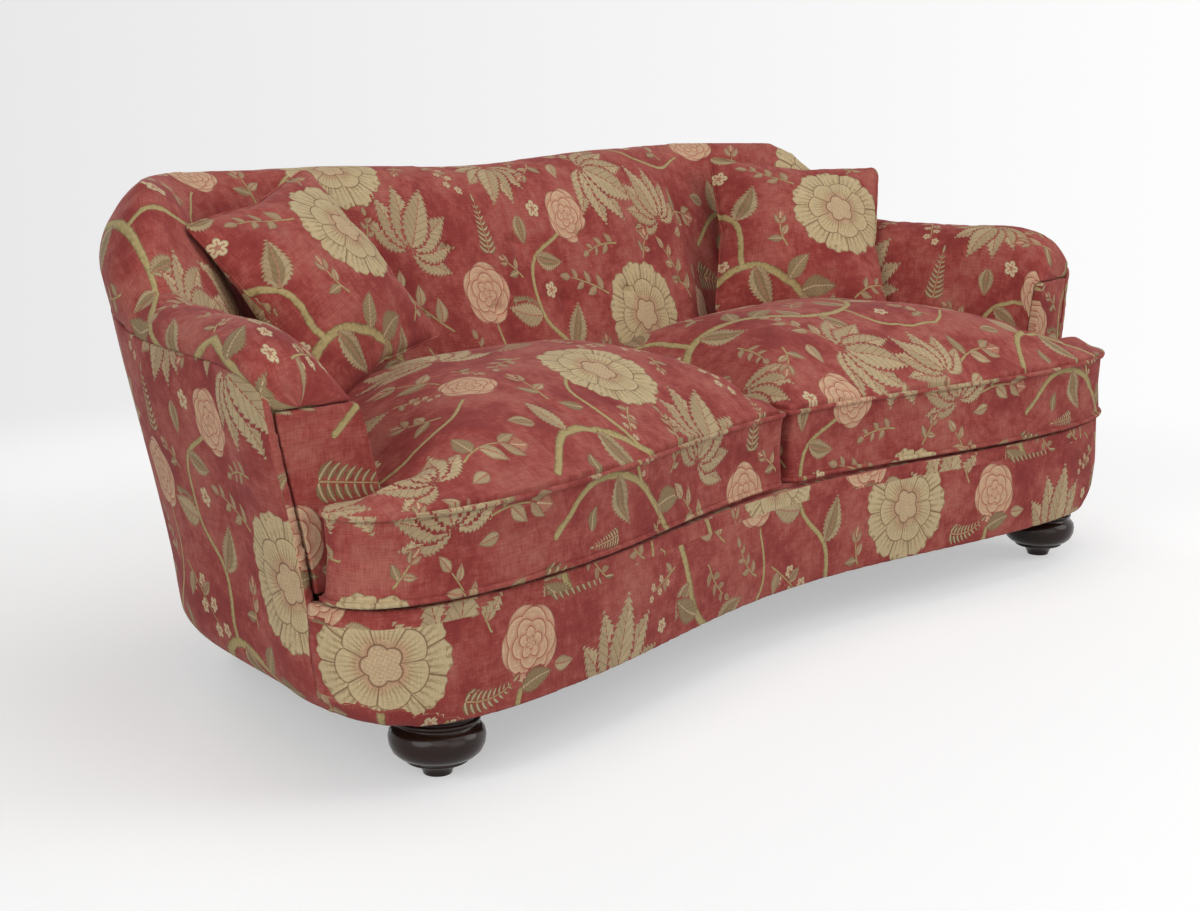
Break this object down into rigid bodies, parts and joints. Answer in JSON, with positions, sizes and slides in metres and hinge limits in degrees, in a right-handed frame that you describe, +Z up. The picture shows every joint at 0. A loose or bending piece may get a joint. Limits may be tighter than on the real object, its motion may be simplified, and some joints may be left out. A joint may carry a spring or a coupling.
{
  "type": "kidney-shaped sofa",
  "caption": "Upholstered sofa with a hollow curved front, wrap-round back, loose T-shaped seat cushions, scatter pillows and turned bun feet.",
  "frame": {"origin": "on the floor under the middle of the bounding box", "axes": "+X along the sofa to the sitter's left, which is the right in a front view; +Y towards the back; +Z up"},
  "size_m": [2.289, 1.0416, 0.8648],
  "materials": {
    "upholstery": "printed linen, matte",
    "piping": "self-covered cord, matte",
    "dust_cloth": "matte",
    "lacquered_wood": "dark gloss lacquer",
    "timber": "bare sawn",
    "spring_steel": "oiled"
  },
  "bodies": {
    "sofa_frame": {"front_left_foot": "lacquered_wood", "back_left_foot": "lacquered_wood", "front_right_foot": "lacquered_wood", "back_right_foot": "lacquered_wood", "front_rail": "timber", "back_rail": "timber", "left_side_rail": "timber", "right_side_rail": "timber", "front_left_corner_block": "timber", "back_left_corner_block": "timber", "front_right_corner_block": "timber", "back_right_corner_block": "timber", "left_cross_rail": "timber", "right_cross_rail": "timber", "crest_rail": "timber", "left_inner_upright": "timber", "left_outer_upright": "timber", "left_back_post": "timber", "right_inner_upright": "timber", "right_outer_upright": "timber", "right_back_post": "timber", "left_arm_board": "timber", "left_arm_post": "timber", "right_arm_board": "timber", "right_arm_post": "timber", "seat_spring_1": "spring_steel", "seat_spring_2": "spring_steel", "seat_spring_3": "spring_steel", "seat_spring_4": "spring_steel", "seat_spring_5": "spring_steel", "seat_spring_6": "spring_steel", "front_border": "upholstery", "seat_deck": "upholstery", "dust_cover": "dust_cloth", "outside_back": "upholstery", "left_outside_arm": "upholstery", "right_outside_arm": "upholstery", "inside_back": "upholstery", "left_arm_roll": "upholstery", "left_inside_arm": "upholstery", "left_arm_front": "upholstery", "right_arm_roll": "upholstery", "right_inside_arm": "upholstery", "right_arm_front": "upholstery"},
    "left_cushion": {"left_seat_cushion": "upholstery", "left_seat_top_welt": "piping", "left_seat_bottom_welt": "piping"},
    "left_scatter_pillow": {"left_pillow": "upholstery", "left_pillow_welt": "piping"},
    "right_cushion": {"right_seat_cushion": "upholstery", "right_seat_top_welt": "piping", "right_seat_bottom_welt": "piping"},
    "right_scatter_pillow": {"right_pillow": "upholstery", "right_pillow_welt": "piping"}
  },
  "joints": [
    {"name": "left_cushion_lift", "type": "slide", "parent": "sofa_frame", "child": "left_cushion", "axis": [0, -0.342, 0.9397], "range_m": [0, 0.62]},
    {"name": "left_pillow_lift", "type": "slide", "parent": "left_cushion", "child": "left_scatter_pillow", "axis": [0, -0.342, 0.9397], "range_m": [0, 0.45]},
    {"name": "right_cushion_lift", "type": "slide", "parent": "sofa_frame", "child": "right_cushion", "axis": [0, -0.342, 0.9397], "range_m": [0, 0.62]},
    {"name": "right_pillow_lift", "type": "slide", "parent": "right_cushion", "child": "right_scatter_pillow", "axis": [0, -0.342, 0.9397], "range_m": [0, 0.45]}
  ]
}
